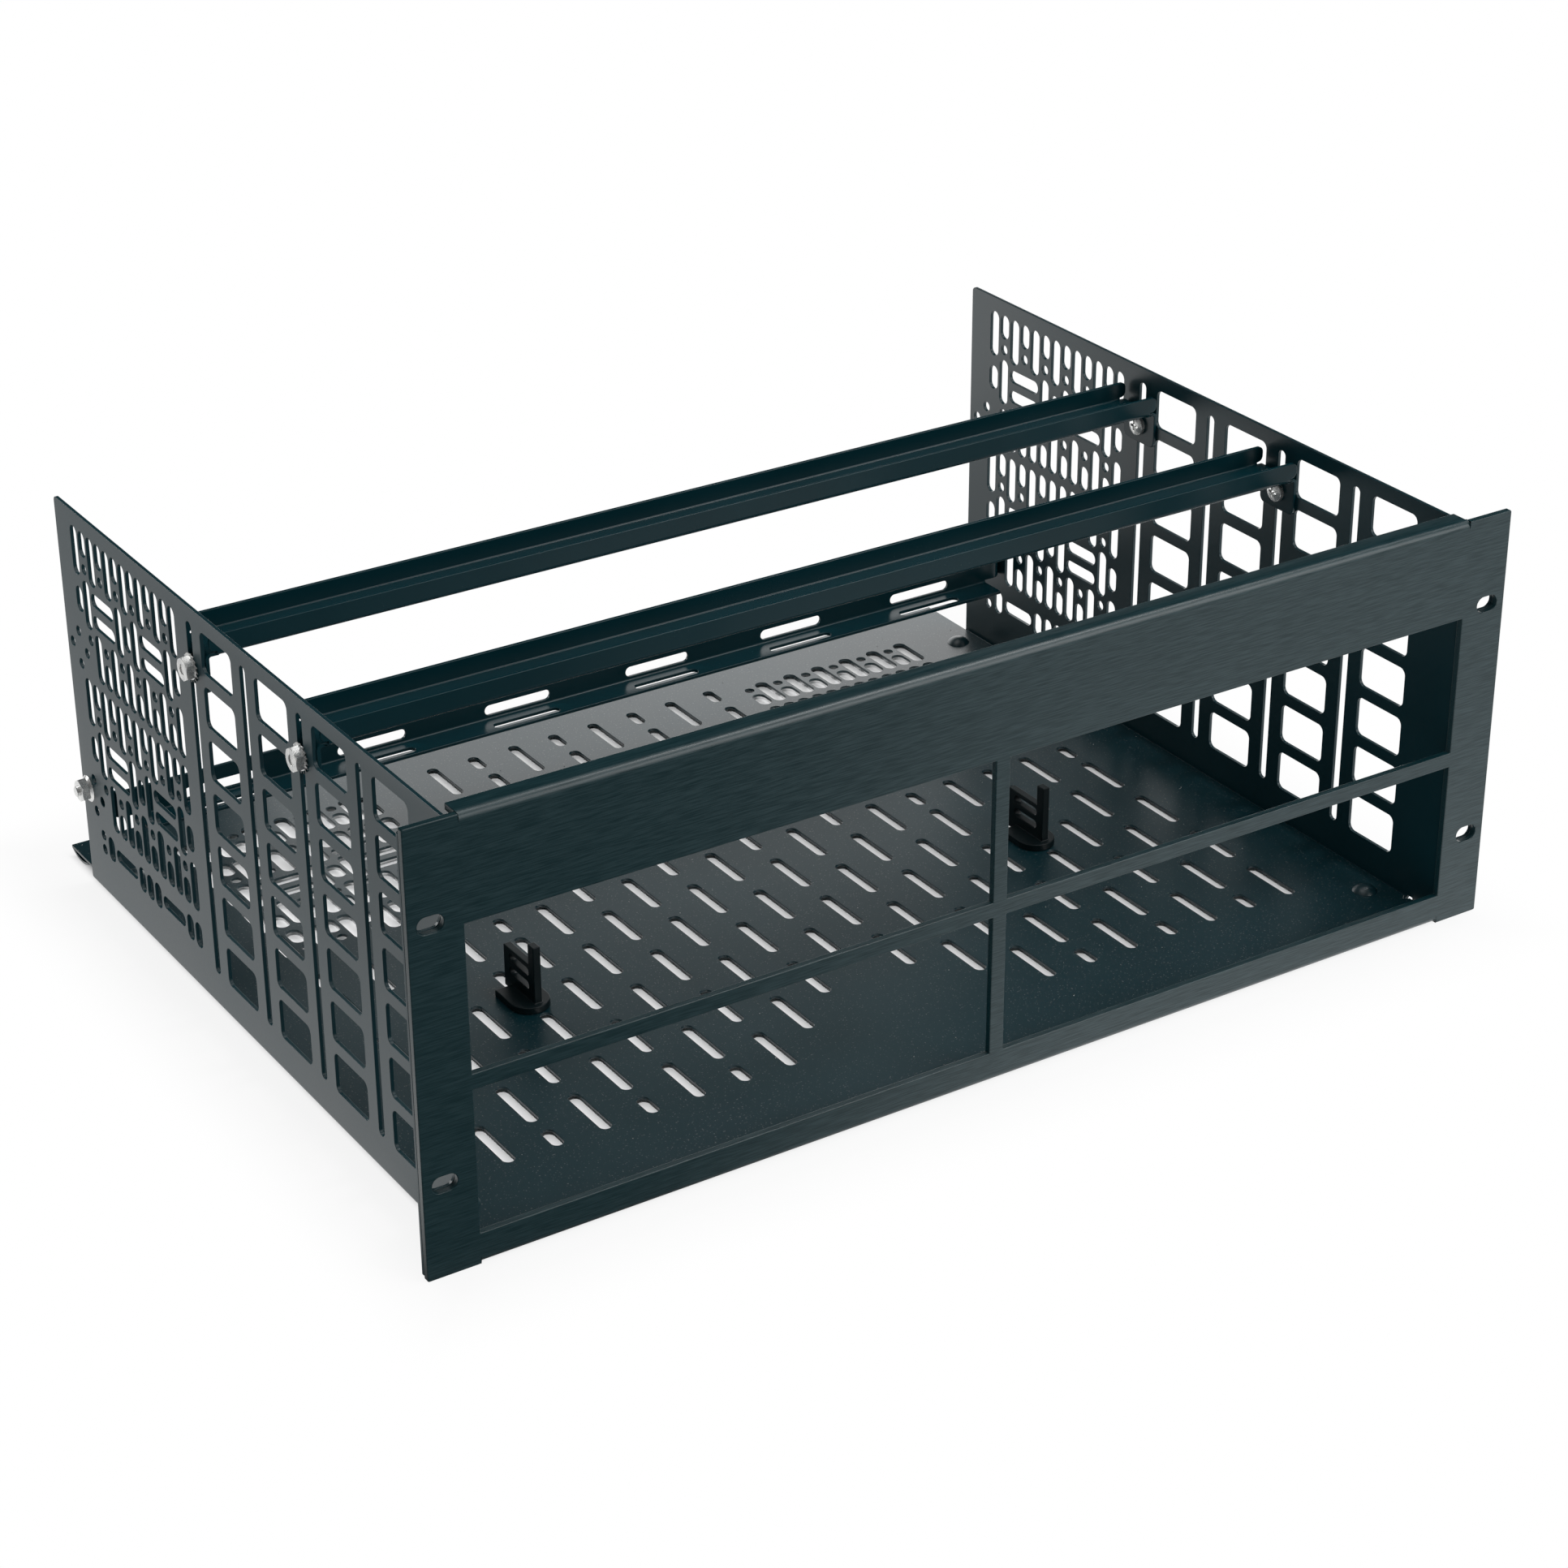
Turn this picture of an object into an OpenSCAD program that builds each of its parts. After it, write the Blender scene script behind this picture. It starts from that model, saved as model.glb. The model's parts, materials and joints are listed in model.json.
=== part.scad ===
// Rack mount shelf, four rack units high: a brushed faceplate with four windows in front of a
// slotted tray, two punched side panels, two tie bars over the top and a lacing bar at the back.
// Millimetres. The origin is the centre of the four rack slots on the plane that meets the rack rail.
// X runs to the right, Y to the back and Z up.

/* [Rack fit] */
// Width of the faceplate over both ears
plate_w = 482.6; // [480:0.2:490]
// Height of the faceplate ears
plate_h = 177; // [174:0.5:190]
// Distance from the end of an ear to the middle of its rack slots
rack_slot_inset = 8.75; // [8:0.05:9.5]
// Distance between the rack slots up the rail
rack_pitch_z = 101.6; // [88.9:0.1:114.3]
// Length of a rack slot
rack_slot_l = 10; // [8:0.5:11]
// Height of a rack slot
rack_slot_h = 6.5; // [5.5:0.1:7.5]

/* [Faceplate] */
// Thickness of the faceplate
plate_t = 2.8; // [2:0.1:3.2]
// Width of the closed strip between the windows and the side of the shelf body
window_inset = 3.3; // [3:0.1:20]
// Height of the closed band above the windows
band_top = 41.2; // [30:0.2:60]
// Height of the closed band below the windows
band_bottom = 12.7; // [10:0.1:20]
// Width of the bars between the windows
window_bar = 6.35; // [4:0.05:10]
// Depth of the folded top and bottom edges
lip_depth = 10; // [8:0.5:13]

/* [Shelf body] */
// Width of an ear, which stands out past the side panel
ear_w = 18; // [17:0.1:19]
// Depth of the side panels behind the rack rail
body_d = 328; // [324:0.5:350]
// Thickness of the side panels' and bars' sheet steel
sheet_t = 1.5; // [1.2:0.1:1.8]
// Thickness of the tray's sheet steel
tray_t = 1.2; // [0.8:0.1:1.8]
// How far the tray runs past the back of the side panels
tray_overhang = 28.8; // [24:0.2:40]
// Width of the side panel flanges under the tray
flange_w = 25; // [22:0.5:32]

/* [Openings] */
// Depth-wise width of a side panel window
side_window_w = 26.5; // [20:0.5:32]
// Height of a side panel window
side_window_h = 17; // [12:0.5:18.5]
// Width of the long side panel slots
long_slot_w = 4.4; // [4.3:0.1:6]
// Width of the punched pattern slots
punch_w = 6.1; // [5:0.1:6.5]
// Diameter of the round holes in the punched pattern
punch_round_d = 4.4; // [4.3:0.1:5]
// Width of the tray slots
tray_slot_w = 5; // [4.2:0.1:6]
// Length of the tray slots
tray_slot_l = 27.9; // [20:0.1:32]

/* [Bars] */
// Width of a tie bar
bar_w = 23; // [20:0.5:26]
// Height of a tie bar
bar_h = 9; // [7:0.2:10]
// Height of the front tie bar's underside over the middle of the faceplate
front_bar_z = 69.2; // [60:0.2:70]
// Height of the rear tie bar's underside over the middle of the faceplate
rear_bar_z = 67.8; // [60:0.2:70]
// Height of the lacing bar
lacing_h = 14; // [12:0.5:15]

/* [Fasteners] */
// Diameter of the screws
screw_d = 4.1; // [3.5:0.1:4.2]
// Width of the nuts across flats
nut_af = 8.7; // [7.5:0.1:10]

/* [Hidden] */
$fn = 32;
dome_facets = 64;

// How far a shape runs into the one it joins, or past the one it cuts
overlap = 1;

// Levels and faces shared by the pieces; the rows of openings are half a rack unit apart
row_pitch = 22.225;
rack_pitch_x = plate_w - 2 * rack_slot_inset;
body_w = plate_w - 2 * ear_w;
fold_gap = 0.8;
fold_r = sheet_t + fold_gap;
plate_fold_gap = 0.3;
plate_fold_r = plate_t + plate_fold_gap;
face_y = -(plate_t + sheet_t);
plate_back = -sheet_t;
lip_z = plate_h / 2;
lip_end = face_y + lip_depth;
x_out = body_w / 2;
x_in = x_out - sheet_t;
tray_z = plate_t - lip_z;
tray_top = tray_z + tray_t;
panel_low = tray_z - sheet_t;
panel_top = lip_z - plate_t;

// Faceplate
lip_side_gap = 1.5;
lip_half = x_in - lip_side_gap;
window_low = band_bottom - plate_h / 2;
window_high = plate_h / 2 - band_top;
window_h = (window_high - window_low - window_bar) / 2;
window_w = (body_w - 2 * window_inset - window_bar) / 2;
ear_corner_r = 0.8;

// Side panel flange, which starts behind the faceplate's bottom fold
relief_w = 3;
flange_front = 15;
panel_corner_r = 2;

// Punched pattern: three kinds of row that repeat every three half units
punch_pitch = 7.68;
punch_columns = 13;
punch_rear = 17.6;
punch_front = body_d - punch_rear - (punch_columns - 1) * punch_pitch;
punch_cycle = 3 * row_pitch;
punch_top = 79.1;
punch_long = 21;
punch_short = 11;
punch_dot = 16.2;
cross_mid = -31.6;
cross_column = 4;
cross_reach = 2;
cross_repeat = 6;
cross_offset = 4.8;
cross_l = 21;
cross_w = 5.8;
comb_low = -63.1;
diamond_y = 4.9;
diamond_z = 8.5;
diamond_arm = 7.2;
last_row_mid = -140.9;
last_row_dot = 3.25;
last_row_columns = [2, 6, 7, 8, 12, 13];

// Side panel windows and long slots
window_columns = 4;
window_rows = 7;
window_margin = 17.13;
window_punch_gap = 16.23;
column_pitch = (punch_front - window_punch_gap - window_margin) / window_columns;
first_column = window_margin + column_pitch / 2;
first_row = 70.72;
side_window_r = 3;
window_band_h = (window_rows - 1) * row_pitch + side_window_h;
window_band_mid = first_row - (window_rows - 1) * row_pitch / 2;
long_slot_y = first_column + column_pitch / 2;

// Tray, whose columns of slots are counted from the middle one
tray_side_gap = 1.35;
tray_half = x_in - tray_side_gap;
tray_front = plate_back + fold_gap;
tray_rear = body_d + tray_overhang;
hem_gap = plate_t - tray_t;
hem_l = 14;
hem_r = (hem_l * hem_l / 4 + hem_gap * hem_gap) / (2 * hem_gap);
hem_rise = hem_r - hem_gap;
hem_half = sqrt((hem_r + tray_t) * (hem_r + tray_t) - hem_rise * hem_rise);
hem_mouth = 0.3;
tray_columns = 9;
tray_pitch_x = 20.32;
tray_rows = 8;
tray_slots_front = 41.4;
tray_slots_rear = tray_rear - 20.8;
tray_mid = (tray_slots_front + tray_slots_rear) / 2;
tray_pitch_y = (tray_slots_rear - tray_slots_front - tray_slot_l) / (tray_rows - 1);
tray_late_column = 1;
tray_bare_column = 2;
tray_short_l = 12;
tray_short_share = 0.6;
tray_short_gap = tray_short_share * (tray_pitch_y - tray_slot_l);
block_first_column = 5;
block_columns = 12;
block_side_gap = 37.07;
block_x = tray_half - block_side_gap;
block_gap = 15.8;
block_front = tray_mid + tray_slot_l / 2 + block_gap;
block_l = 2 * (punch_cycle + punch_long) + comb_low;
block_rear = block_front + block_l;
corner_relief_r = 1.6;
corner_relief_y = 13.7;

// Tie bars, each with a tab folded down on to the side panels
tab_side_gap = 1;
tab_w = bar_w - 2 * tab_side_gap;
tab_drop = 15.2;
tab_corner_r = 3;
bar_end_relief = 2;
bar_straight = x_in - fold_r - bar_end_relief;
bar_wall_gap = 1.4;
bar_wall_end = x_in - bar_wall_gap;
bar_wall_corner_r = 2.5;
screw_drop = 7.3;
front_bar_y = long_slot_y + column_pitch;
rear_bar_y = long_slot_y + 3 * column_pitch;

// Lacing bar, bolted to the lower diamond of round holes
lacing_foot = 13.8;
lacing_bend_r = 5;
lacing_bolt_y = body_d - punch_rear + diamond_y + diamond_arm;
lacing_bolt_z = punch_top - punch_cycle + comb_low + diamond_z;
lacing_drop = 0.5;
lacing_reach = 22.3;
lacing_z = lacing_bolt_z - lacing_drop;
lacing_y = lacing_bolt_y - lacing_reach;
lacing_low = lacing_z - lacing_h / 2;
lacing_slots = 6;
lacing_slot_pitch = 70;
lacing_slot_l = 32;
lacing_slot_w = 4.6;
lacing_slot_drop = 1.7;
lacing_slot_reach = 8;
lacing_flat = x_in - lacing_bend_r;
lacing_foot_gap = 4.5;
lacing_foot_end = lacing_flat - lacing_foot_gap;

// Stop clips, which snap into the tray slots of the sixth columns
clip_column = 6;
clip_y = 127;
clip_base_w = 16.5;
clip_base_l = 21;
clip_base_h = 3;
clip_base_x = -1.2;
clip_wall_t = 3.3;
clip_wall_l = 24.5;
clip_wall_y = 2.7;
clip_post_l = 4.6;
clip_post_h = 24.7;
clip_rung_h = 15.5;
clip_gap_l = 15.2;
clip_gap_h = 3.2;
clip_gap_pitch = 6;
clip_gap_y = clip_wall_y + clip_post_l + clip_gap_l / 2;
clip_gap_lift = 4.2;
clip_gap_z = clip_base_h + clip_gap_lift + clip_gap_h / 2;
clip_foot_y = 12.5;
clip_foot_l = 8.5;
clip_fit = 0.2;
clip_barb = 0.7;
clip_barb_h = 1;

// Fasteners
hole_fit = 0.1;
head_d = 8.7;
head_h = 2.8;
head_dome_r = 9;
recess_w = 1.1;
recess_l = 4.6;
recess_d = 1.3;
nut_h = 3.2;
tooth_disc_d = 9.2;
tooth_tip_d = 11.4;
tooth_w = 1.2;
tooth_count = 14;
tooth_washer_t = 0.8;
cone_washer_d = 11.6;
cone_washer_top_d = 9;
cone_washer_t = 1.1;
bar_screw_tail = -0.4;
lacing_bolt_tail = 1.4;
rivet_inset = 14;
rivet_front = 27.1;
rivet_rear_inset = 11.3;
rivet_rear = body_d - rivet_rear_inset;
rivet_head_d = 10.5;
rivet_head_h = 2.7;
rivet_d = 4.8;
rivet_tail_d = 7.4;
rivet_tail_t = 0.6;
small_rivet_count = 4;
small_rivet_inset = 30.3;
small_rivet_gaps = small_rivet_count - 1;
small_rivet_pitch = 2 * (lip_half - small_rivet_inset) / small_rivet_gaps;
small_rivet_x = [for (i = [0 : small_rivet_gaps]) (i - small_rivet_gaps / 2) * small_rivet_pitch];
small_rivet_y = (tray_front + lip_end) / 2;
small_rivet_head_d = 6;
small_rivet_head_h = 1.6;
small_rivet_d = 3.2;

black_anodised = [0.10, 0.13, 0.14];
black_paint = [0.09, 0.10, 0.105];
black_plastic = [0.06, 0.06, 0.065];
zinc = [0.74, 0.75, 0.76];

// Flat shapes pushed along an axis: (Y, Z) shapes along X, (X, Z) shapes along Y
module along_x(x0, x1) {
    translate([x0, 0, 0]) rotate([90, 0, 90]) linear_extrude(x1 - x0) children();
}

module along_y(y0, y1) {
    translate([0, y1, 0]) rotate([90, 0, 0]) linear_extrude(y1 - y0) children();
}

module along_z(z0, z1) {
    translate([0, 0, z0]) linear_extrude(z1 - z0) children();
}

// Both halves of a shape that is the same on the left and the right
module both_sides() {
    children();
    mirror([1, 0, 0]) children();
}

// Rectangle from one corner to the opposite one
module box_2d(low, high) {
    translate(low) square([high[0] - low[0], high[1] - low[1]]);
}

// Slot with round ends, centred
module pill(w, h) {
    r = min(w, h) / 2;
    reach = max(w, h) / 2 - r;
    step = (h > w) ? [0, reach] : [reach, 0];
    translate(step) circle(r);
    translate(-step) circle(r);
    square([(h > w) ? w : 2 * reach, (h > w) ? 2 * reach : h], center = true);
}

// Rectangle with round corners, centred
module rounded_rect(w, h, r) {
    square([w - 2 * r, h], center = true);
    square([w, h - 2 * r], center = true);
    for (sx = [-1, 1], sy = [-1, 1])
        translate([sx * (w / 2 - r), sy * (h / 2 - r)]) circle(r);
}

// Quarter of a ring, the section of a folded corner, in the quadrant that side points to
module fold_2d(centre, side, r, t) {
    translate(centre) intersection() {
        difference() {
            circle(r);
            circle(r - t);
        }
        box_2d([min(0, side[0] * r), min(0, side[1] * r)],
            [max(0, side[0] * r), max(0, side[1] * r)]);
    }
}

module rack_slots_2d() {
    for (sx = [-1, 1], sz = [-1, 1])
        translate([sx * rack_pitch_x / 2, sz * rack_pitch_z / 2]) pill(rack_slot_l, rack_slot_h);
}

// Faceplate, with its top and bottom edges folded back between the ears
module faceplate_windows_2d() {
    for (sx = [-1, 1], row = [0, 1])
        translate([sx * (window_w + window_bar) / 2, window_low + window_h / 2 + row * (window_h + window_bar)])
            square([window_w, window_h], center = true);
}

module faceplate_lip() {
    bend = [face_y + plate_fold_r, lip_z - plate_fold_r];
    along_x(-lip_half, lip_half) {
        fold_2d(bend, [-1, 1], plate_fold_r, plate_t);
        box_2d([bend[0], lip_z - plate_t], [lip_end, lip_z]);
    }
}

module faceplate() color(black_anodised) {
    along_y(face_y, plate_back) difference() {
        rounded_rect(plate_w, plate_h, ear_corner_r);
        for (side = [-1, 1])
            translate([0, side * plate_h / 2])
                square([2 * lip_half, 2 * plate_fold_r], center = true);
        faceplate_windows_2d();
        rack_slots_2d();
    }
    faceplate_lip();
    difference() {
        mirror([0, 0, 1]) faceplate_lip();
        for (x = small_rivet_x)
            translate([x, small_rivet_y, -lip_z - overlap])
                cylinder(h = plate_t + 2 * overlap, d = small_rivet_d + 2 * hole_fit);
    }
}

// Punched pattern, counted in columns from the first one at u = 0 and measured down from v = 0
function punch_u(c) = -punch_pitch * (c - 1);

module comb_down_2d(columns) {
    for (c = columns)
        if (c % 2 == 1)
            translate([punch_u(c), -punch_long / 2]) pill(punch_w, punch_long);
        else {
            translate([punch_u(c), -punch_short / 2]) pill(punch_w, punch_short);
            translate([punch_u(c), -punch_dot]) circle(d = punch_round_d);
        }
}

module cross_row_2d(columns) {
    for (c = [1 : cross_repeat : columns])
        translate([punch_u(c), 0]) pill(punch_w, punch_short);
    for (c = [cross_column : cross_repeat : columns], side = [-1, 1]) {
        translate([punch_u(c + side * cross_reach), 0]) pill(punch_w, punch_long);
        translate([punch_u(c), side * cross_offset]) pill(cross_l, cross_w);
    }
}

module comb_up_2d(columns) {
    mirror([0, 1]) comb_down_2d(columns);
}

module diamond_2d() {
    for (turn = [0 : 90 : 270])
        rotate(turn) translate([diamond_arm, 0]) circle(d = punch_round_d);
}

module punch_cycle_2d() {
    comb_down_2d([1 : punch_columns]);
    translate([0, cross_mid]) cross_row_2d(punch_columns);
    translate([0, comb_low]) {
        comb_up_2d([3 : punch_columns]);
        translate([punch_u(2), punch_dot]) circle(d = punch_round_d);
        translate([diamond_y, diamond_z]) diamond_2d();
    }
}

module punch_last_row_2d() {
    for (c = last_row_columns)
        translate([punch_u(c), 0]) pill(punch_w, punch_short);
    for (c = [cross_column : cross_repeat : punch_columns])
        translate([punch_u(c), 0]) pill(cross_l, cross_w);
    for (side = [-1, 1])
        translate([punch_u(1), side * last_row_dot]) circle(d = punch_round_d);
}

module side_punching_2d() {
    translate([body_d - punch_rear, punch_top]) {
        punch_cycle_2d();
        translate([0, -punch_cycle]) punch_cycle_2d();
        translate([0, last_row_mid]) punch_last_row_2d();
    }
}

// Side panel on the right: a punched wall, an ear behind the faceplate and a flange under the tray
module side_windows_2d() {
    for (column = [0 : window_columns - 1]) {
        for (row = [0 : window_rows - 1])
            translate([first_column + column * column_pitch, first_row - row * row_pitch])
                rounded_rect(side_window_w, side_window_h, side_window_r);
        translate([long_slot_y + column * column_pitch, window_band_mid]) pill(long_slot_w, window_band_h);
    }
}

module side_wall_2d() {
    difference() {
        box_2d([plate_back + fold_r, panel_low], [body_d, panel_top]);
        box_2d([flange_front - relief_w, panel_low - overlap], [body_d + overlap, panel_low + fold_r]);
        side_windows_2d();
        side_punching_2d();
        translate([body_d - panel_corner_r, panel_top - panel_corner_r]) difference() {
            square(2 * panel_corner_r);
            circle(panel_corner_r);
        }
    }
}

module side_ear() {
    bend = [x_in + fold_r, plate_back + fold_r];
    along_z(panel_low, panel_top) fold_2d(bend, [-1, -1], fold_r, sheet_t);
    along_y(plate_back, 0) difference() {
        box_2d([bend[0], panel_low], [plate_w / 2, panel_top]);
        rack_slots_2d();
    }
}

module side_flange() {
    bend = [x_out - fold_r, panel_low + fold_r];
    along_y(flange_front, body_d) fold_2d(bend, [1, -1], fold_r, sheet_t);
    along_z(panel_low, tray_z) difference() {
        box_2d([x_out - flange_w, flange_front], [bend[0], body_d]);
        rivet_holes_2d();
    }
}

module side_panel() color(black_paint) {
    along_x(x_in, x_out) side_wall_2d();
    side_ear();
    side_flange();
}

module right_side_panel() side_panel();

module left_side_panel() mirror([1, 0, 0]) side_panel();

// Tray, with a bowed hem folded under its back edge
module rivet_holes_2d() {
    for (sx = [-1, 1], y = [rivet_front, rivet_rear])
        translate([sx * (x_out - rivet_inset), y]) circle(d = rivet_d + 2 * hole_fit);
}

module tray_column_2d(k) {
    odd = abs(k) % 2;
    rows = odd ? tray_rows : tray_rows - 1;
    first = tray_mid - (rows - 1) * tray_pitch_y / 2;
    in_block = abs(k) >= block_first_column;
    start = (abs(k) <= tray_late_column) ? 1 : 0;
    stop = (in_block ? tray_rows / 2 : rows) - 1;
    for (row = [start : stop])
        translate([0, first + row * tray_pitch_y]) pill(tray_slot_w, tray_slot_l);
    if (!odd && abs(k) > tray_bare_column)
        translate([0, tray_slots_front + tray_short_l / 2]) pill(tray_slot_w, tray_short_l);
    if (!odd && !in_block)
        translate([0, tray_slots_rear - tray_short_l / 2]) pill(tray_slot_w, tray_short_l);
    if (odd && in_block)
        translate([0, first + stop * tray_pitch_y + (tray_slot_l + tray_short_l) / 2 + tray_short_gap])
            pill(tray_slot_w, tray_short_l);
}

module tray_block_2d() {
    columns = [1 : block_columns];
    translate([block_x, block_rear]) {
        translate([0, -punch_long]) comb_up_2d(columns);
        translate([0, -punch_cycle - comb_low - punch_long]) {
            comb_down_2d(columns);
            translate([0, cross_mid]) cross_row_2d(block_columns);
            translate([0, comb_low]) comb_up_2d(columns);
        }
        translate([0, -2 * punch_cycle - comb_low - punch_long]) comb_down_2d(columns);
    }
}

module tray_2d() {
    difference() {
        box_2d([-tray_half, tray_front], [tray_half, tray_rear]);
        for (k = [-tray_columns : tray_columns])
            translate([k * tray_pitch_x, 0]) tray_column_2d(k);
        both_sides() {
            tray_block_2d();
            translate([tray_half, corner_relief_y]) circle(corner_relief_r);
        }
        rivet_holes_2d();
        for (x = small_rivet_x)
            translate([x, small_rivet_y]) circle(d = small_rivet_d + 2 * hole_fit);
    }
}

module tray_hem() {
    along_x(-tray_half, tray_half) translate([tray_rear - hem_half, tray_z]) intersection() {
        translate([0, hem_rise]) difference() {
            circle(hem_r + tray_t);
            circle(hem_r);
        }
        union() {
            box_2d([0, -plate_t], [hem_half, 0]);
            box_2d([-hem_half, -plate_t], [0, -hem_mouth]);
        }
    }
}

module tray() color(black_paint) {
    along_z(tray_z, tray_top) tray_2d();
    tray_hem();
}

// Tie bar: an open channel whose base is folded down at both ends
module tie_bar_channel(mid_y, low_z) {
    along_x(-bar_straight, bar_straight)
        for (side = [-1, 1])
            fold_2d([mid_y + side * (bar_w / 2 - fold_r), low_z + fold_r], [side, -1], fold_r, sheet_t);
    along_x(-bar_straight, bar_straight)
        box_2d([mid_y - bar_w / 2 + fold_r, low_z], [mid_y + bar_w / 2 - fold_r, low_z + sheet_t]);
    wall_h = bar_h - fold_r;
    for (y = [mid_y - bar_w / 2, mid_y + bar_w / 2 - sheet_t])
        along_y(y, y + sheet_t) translate([0, low_z + fold_r + wall_h / 2])
            rounded_rect(2 * bar_wall_end, wall_h, bar_wall_corner_r);
}

module tie_bar_tab(mid_y, low_z) {
    bend = [x_in - fold_r, low_z + sheet_t - fold_r];
    tab_low = low_z - tab_drop;
    along_y(mid_y - tab_w / 2, mid_y + tab_w / 2) {
        box_2d([bar_straight - overlap, low_z], [bend[0], low_z + sheet_t]);
        fold_2d(bend, [1, 1], fold_r, sheet_t);
    }
    along_x(x_in - sheet_t, x_in) difference() {
        union() {
            box_2d([mid_y - tab_w / 2, tab_low + tab_corner_r], [mid_y + tab_w / 2, bend[1]]);
            box_2d([mid_y - tab_w / 2 + tab_corner_r, tab_low],
                [mid_y + tab_w / 2 - tab_corner_r, tab_low + tab_corner_r]);
            for (side = [-1, 1])
                translate([mid_y + side * (tab_w / 2 - tab_corner_r), tab_low + tab_corner_r]) circle(tab_corner_r);
        }
        translate([mid_y, low_z - screw_drop]) circle(d = screw_d + 2 * hole_fit);
    }
}

module tie_bar(mid_y, low_z) color(black_paint) {
    tie_bar_channel(mid_y, low_z);
    both_sides() tie_bar_tab(mid_y, low_z);
}

module front_tie_bar() tie_bar(front_bar_y, front_bar_z);

module rear_tie_bar() tie_bar(rear_bar_y, rear_bar_z);

// Lacing bar: a slotted angle whose upright leg is folded back at both ends
module lacing_slots_2d() {
    for (i = [0 : lacing_slots - 1])
        translate([(i - (lacing_slots - 1) / 2) * lacing_slot_pitch, 0]) pill(lacing_slot_l, lacing_slot_w);
}

module lacing_angle() {
    top = lacing_low + lacing_h;
    bend = [lacing_y + sheet_t - fold_r, lacing_low + fold_r];
    foot_y = lacing_y + sheet_t - lacing_foot;
    along_y(lacing_y, lacing_y + sheet_t) difference() {
        box_2d([-lacing_flat, bend[1]], [lacing_flat, top]);
        translate([0, lacing_z - lacing_slot_drop]) lacing_slots_2d();
    }
    along_x(-lacing_foot_end, lacing_foot_end) fold_2d(bend, [1, -1], fold_r, sheet_t);
    along_z(lacing_low, lacing_low + sheet_t) difference() {
        box_2d([-lacing_foot_end, foot_y], [lacing_foot_end, bend[0]]);
        translate([0, lacing_y - lacing_slot_reach]) lacing_slots_2d();
    }
}

module lacing_end() {
    top = lacing_low + lacing_h;
    bend = [lacing_flat, lacing_y + lacing_bend_r];
    along_z(lacing_low + fold_r, top) fold_2d(bend, [1, -1], lacing_bend_r, sheet_t);
    along_x(x_in - sheet_t, x_in) difference() {
        box_2d([bend[1], lacing_low + fold_r], [body_d, top]);
        translate([lacing_bolt_y, lacing_bolt_z]) circle(d = screw_d + 2 * hole_fit);
    }
}

module lacing_bar() color(black_paint) {
    lacing_angle();
    both_sides() lacing_end();
}

// Stop clip: a moulded ladder on a round-nosed foot, held by barbs under a tray slot
module clip_wall_2d() {
    top = clip_base_h + clip_rung_h;
    difference() {
        box_2d([clip_wall_y, 0], [clip_wall_y + clip_wall_l, top]);
        for (row = [0, 1])
            translate([clip_gap_y, clip_gap_z + row * clip_gap_pitch]) pill(clip_gap_l, clip_gap_h);
    }
    box_2d([clip_wall_y, 0], [clip_wall_y + clip_post_l, clip_base_h + clip_post_h]);
}

module clip_base_2d() {
    nose = clip_base_w / 2;
    translate([0, nose]) circle(nose);
    box_2d([-nose, nose], [nose, clip_base_l]);
}

module clip_foot() {
    neck_w = tray_slot_w - 2 * clip_fit;
    depth = tray_t + clip_fit;
    translate([-neck_w / 2, clip_foot_y, -depth]) cube([neck_w, clip_foot_l, depth]);
    translate([-neck_w / 2 - clip_barb, clip_foot_y, -depth - clip_barb_h])
        cube([neck_w + 2 * clip_barb, clip_foot_l, clip_barb_h]);
}

module stop_clip(side) color(black_plastic) {
    translate([side * clip_column * tray_pitch_x, clip_y, tray_top]) {
        along_z(0, clip_base_h) translate([clip_base_x, 0]) clip_base_2d();
        along_x(-clip_wall_t / 2, clip_wall_t / 2) clip_wall_2d();
        clip_foot();
    }
}

module left_stop_clip() stop_clip(-1);

module right_stop_clip() stop_clip(1);

// Fasteners, drawn along Z with the joint's inner face at zero
module pan_screw(grip, tail) {
    mirror([0, 0, 1]) difference() {
        intersection() {
            cylinder(h = head_h, d = head_d);
            translate([0, 0, head_h - head_dome_r]) sphere(head_dome_r, $fn = dome_facets);
        }
        for (turn = [0, 90])
            rotate(turn) translate([-recess_l / 2, -recess_w / 2, head_h - recess_d])
                cube([recess_l, recess_w, recess_d + overlap]);
    }
    cylinder(h = grip + nut_h + tail, d = screw_d);
}

module tooth_washer() {
    linear_extrude(tooth_washer_t) difference() {
        union() {
            circle(d = tooth_disc_d);
            for (i = [0 : tooth_count - 1])
                rotate(i * 360 / tooth_count) translate([0, -tooth_w / 2]) square([tooth_tip_d / 2, tooth_w]);
        }
        circle(d = screw_d + 2 * hole_fit);
    }
}

module cone_washer() {
    difference() {
        cylinder(h = cone_washer_t, d1 = cone_washer_d, d2 = cone_washer_top_d);
        translate([0, 0, -overlap]) cylinder(h = cone_washer_t + 2 * overlap, d = screw_d + 2 * hole_fit);
    }
}

module hex_nut() {
    difference() {
        intersection() {
            cylinder(h = nut_h, d = nut_af / cos(30), $fn = 6);
            cylinder(h = nut_h, d1 = nut_af + 2 * nut_h / tan(30), d2 = nut_af);
        }
        translate([0, 0, -overlap]) cylinder(h = nut_h + 2 * overlap, d = screw_d + 2 * hole_fit);
    }
}

// One fastener through each side panel, its axis pointing out of the body
module at_both_sides(x, y, z) {
    both_sides() translate([x, y, z]) rotate([0, 90, 0]) children();
}

module bar_screws(y, z, washer_t, tail) color(zinc)
    at_both_sides(x_in - sheet_t, y, z) pan_screw(2 * sheet_t + washer_t, tail);

module bar_nuts(y, z, washer_t) color(zinc)
    at_both_sides(x_out + washer_t, y, z) hex_nut();

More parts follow.
